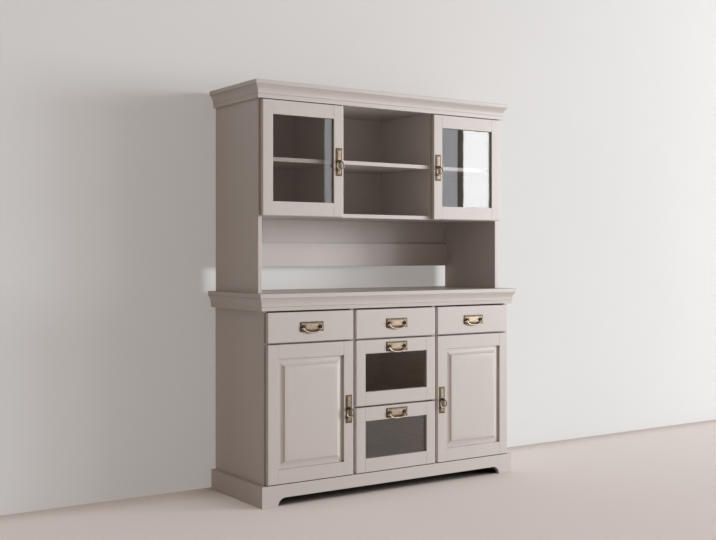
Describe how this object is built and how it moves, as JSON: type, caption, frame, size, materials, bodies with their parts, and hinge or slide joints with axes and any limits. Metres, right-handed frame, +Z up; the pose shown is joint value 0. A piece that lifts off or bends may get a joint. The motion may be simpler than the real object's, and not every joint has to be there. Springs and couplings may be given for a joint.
{
  "type": "buffet cabinet with hutch",
  "caption": "Painted buffet cabinet: a base of drawers, panelled doors and glazed drawers under a worktop, and a hutch with a niche, open shelves, glazed doors and a coved cornice.",
  "frame": {"origin": "on the floor, in the middle of the cabinet's width and depth", "axes": "+Z up, -Y towards the room, +X to the right of someone who faces the cabinet"},
  "size_m": [1.462, 0.502, 1.85],
  "materials": {
    "paint": "satin greige paint on wood",
    "inner_wood": "clear sealed hardwood",
    "glass": "clear float glass",
    "antique_brass": "aged, brushed relief",
    "hinge_steel": "nickel plated"
  },
  "bodies": {
    "cabinet": {"plinth": "paint", "base_sides": "paint", "base_dividers": "paint", "base_floor": "paint", "base_rails": "paint", "back_panels": "paint", "drawer_runners": "inner_wood", "loose_shelves": "paint", "shelf_pegs": "hinge_steel", "worktop": "paint", "worktop_moulding": "paint", "hutch_sides": "paint", "hutch_dividers": "paint", "hutch_boards": "paint", "hutch_top": "paint", "niche_back_rail": "paint", "cornice_moulding": "paint", "hinge_arms": "hinge_steel"},
    "base_door_left": {"base_door_left_frame": "paint", "base_door_left_panel": "paint", "base_door_left_hinge_cups": "hinge_steel", "base_door_left_pull_plate": "antique_brass"},
    "base_door_left_ring": {"base_door_left_ring": "antique_brass"},
    "base_door_right": {"base_door_right_frame": "paint", "base_door_right_panel": "paint", "base_door_right_hinge_cups": "hinge_steel", "base_door_right_pull_plate": "antique_brass"},
    "base_door_right_ring": {"base_door_right_ring": "antique_brass"},
    "hutch_door_left": {"hutch_door_left_frame": "paint", "hutch_door_left_glass": "glass", "hutch_door_left_hinge_cups": "hinge_steel", "hutch_door_left_pull_plate": "antique_brass"},
    "hutch_door_left_ring": {"hutch_door_left_ring": "antique_brass"},
    "hutch_door_right": {"hutch_door_right_frame": "paint", "hutch_door_right_glass": "glass", "hutch_door_right_hinge_cups": "hinge_steel", "hutch_door_right_pull_plate": "antique_brass"},
    "hutch_door_right_ring": {"hutch_door_right_ring": "antique_brass"},
    "drawer_left": {"drawer_left_front": "paint", "drawer_left_box": "inner_wood", "drawer_left_pull_plate": "antique_brass"},
    "drawer_left_bail": {"drawer_left_bail": "antique_brass"},
    "drawer_middle": {"drawer_middle_front": "paint", "drawer_middle_box": "inner_wood", "drawer_middle_pull_plate": "antique_brass"},
    "drawer_middle_bail": {"drawer_middle_bail": "antique_brass"},
    "drawer_right": {"drawer_right_front": "paint", "drawer_right_box": "inner_wood", "drawer_right_pull_plate": "antique_brass"},
    "drawer_right_bail": {"drawer_right_bail": "antique_brass"},
    "glazed_drawer_upper": {"glazed_drawer_upper_frame": "paint", "glazed_drawer_upper_glass": "glass", "glazed_drawer_upper_box": "inner_wood", "glazed_drawer_upper_pull_plate": "antique_brass"},
    "glazed_drawer_upper_bail": {"glazed_drawer_upper_bail": "antique_brass"},
    "glazed_drawer_lower": {"glazed_drawer_lower_frame": "paint", "glazed_drawer_lower_glass": "glass", "glazed_drawer_lower_box": "inner_wood", "glazed_drawer_lower_pull_plate": "antique_brass"},
    "glazed_drawer_lower_bail": {"glazed_drawer_lower_bail": "antique_brass"}
  },
  "joints": [
    {"name": "base_door_left_hinge", "type": "hinge", "parent": "cabinet", "child": "base_door_left", "pos_m": [-0.6775, -0.222, 0.39863], "axis": [0, 0, -1], "range_deg": [0, 95]},
    {"name": "base_door_left_ring_swing", "type": "hinge", "parent": "base_door_left", "child": "base_door_left_ring", "pos_m": [-0.268, -0.2454, 0.39763], "axis": [-1, 0, 0], "range_deg": [-8, 120]},
    {"name": "base_door_right_hinge", "type": "hinge", "parent": "cabinet", "child": "base_door_right", "pos_m": [0.6775, -0.222, 0.39863], "axis": [0, 0, 1], "range_deg": [0, 95]},
    {"name": "base_door_right_ring_swing", "type": "hinge", "parent": "base_door_right", "child": "base_door_right_ring", "pos_m": [0.268, -0.2454, 0.39763], "axis": [-1, 0, 0], "range_deg": [-8, 120]},
    {"name": "hutch_door_left_hinge", "type": "hinge", "parent": "cabinet", "child": "hutch_door_left", "pos_m": [-0.673, -0.169, 1.51575], "axis": [0, 0, -1], "range_deg": [0, 95]},
    {"name": "hutch_door_left_ring_swing", "type": "hinge", "parent": "hutch_door_left", "child": "hutch_door_left_ring", "pos_m": [-0.287, -0.1924, 1.51475], "axis": [-1, 0, 0], "range_deg": [-8, 120]},
    {"name": "hutch_door_right_hinge", "type": "hinge", "parent": "cabinet", "child": "hutch_door_right", "pos_m": [0.673, -0.169, 1.51575], "axis": [0, 0, 1], "range_deg": [0, 95]},
    {"name": "hutch_door_right_ring_swing", "type": "hinge", "parent": "hutch_door_right", "child": "hutch_door_right_ring", "pos_m": [0.287, -0.1924, 1.51475], "axis": [-1, 0, 0], "range_deg": [-8, 120]},
    {"name": "drawer_left_slide", "type": "slide", "parent": "cabinet", "child": "drawer_left", "axis": [0, -1, 0], "range_m": [0, 0.3]},
    {"name": "drawer_left_bail_swing", "type": "hinge", "parent": "drawer_left", "child": "drawer_left_bail", "pos_m": [-0.46425, -0.2439, 0.77412], "axis": [-1, 0, 0], "range_deg": [-8, 120]},
    {"name": "drawer_middle_slide", "type": "slide", "parent": "cabinet", "child": "drawer_middle", "axis": [0, -1, 0], "range_m": [0, 0.3]},
    {"name": "drawer_middle_bail_swing", "type": "hinge", "parent": "drawer_middle", "child": "drawer_middle_bail", "pos_m": [0, -0.2439, 0.77412], "axis": [-1, 0, 0], "range_deg": [-8, 120]},
    {"name": "drawer_right_slide", "type": "slide", "parent": "cabinet", "child": "drawer_right", "axis": [0, -1, 0], "range_m": [0, 0.3]},
    {"name": "drawer_right_bail_swing", "type": "hinge", "parent": "drawer_right", "child": "drawer_right_bail", "pos_m": [0.46425, -0.2439, 0.77412], "axis": [-1, 0, 0], "range_deg": [-8, 120]},
    {"name": "glazed_drawer_upper_slide", "type": "slide", "parent": "cabinet", "child": "glazed_drawer_upper", "axis": [0, -1, 0], "range_m": [0, 0.3]},
    {"name": "glazed_drawer_upper_bail_swing", "type": "hinge", "parent": "glazed_drawer_upper", "child": "glazed_drawer_upper_bail", "pos_m": [0, -0.2439, 0.66675], "axis": [-1, 0, 0], "range_deg": [-8, 120]},
    {"name": "glazed_drawer_lower_slide", "type": "slide", "parent": "cabinet", "child": "glazed_drawer_lower", "axis": [0, -1, 0], "range_m": [0, 0.3]},
    {"name": "glazed_drawer_lower_bail_swing", "type": "hinge", "parent": "glazed_drawer_lower", "child": "glazed_drawer_lower_bail", "pos_m": [0, -0.2439, 0.35925], "axis": [-1, 0, 0], "range_deg": [-8, 120]}
  ]
}
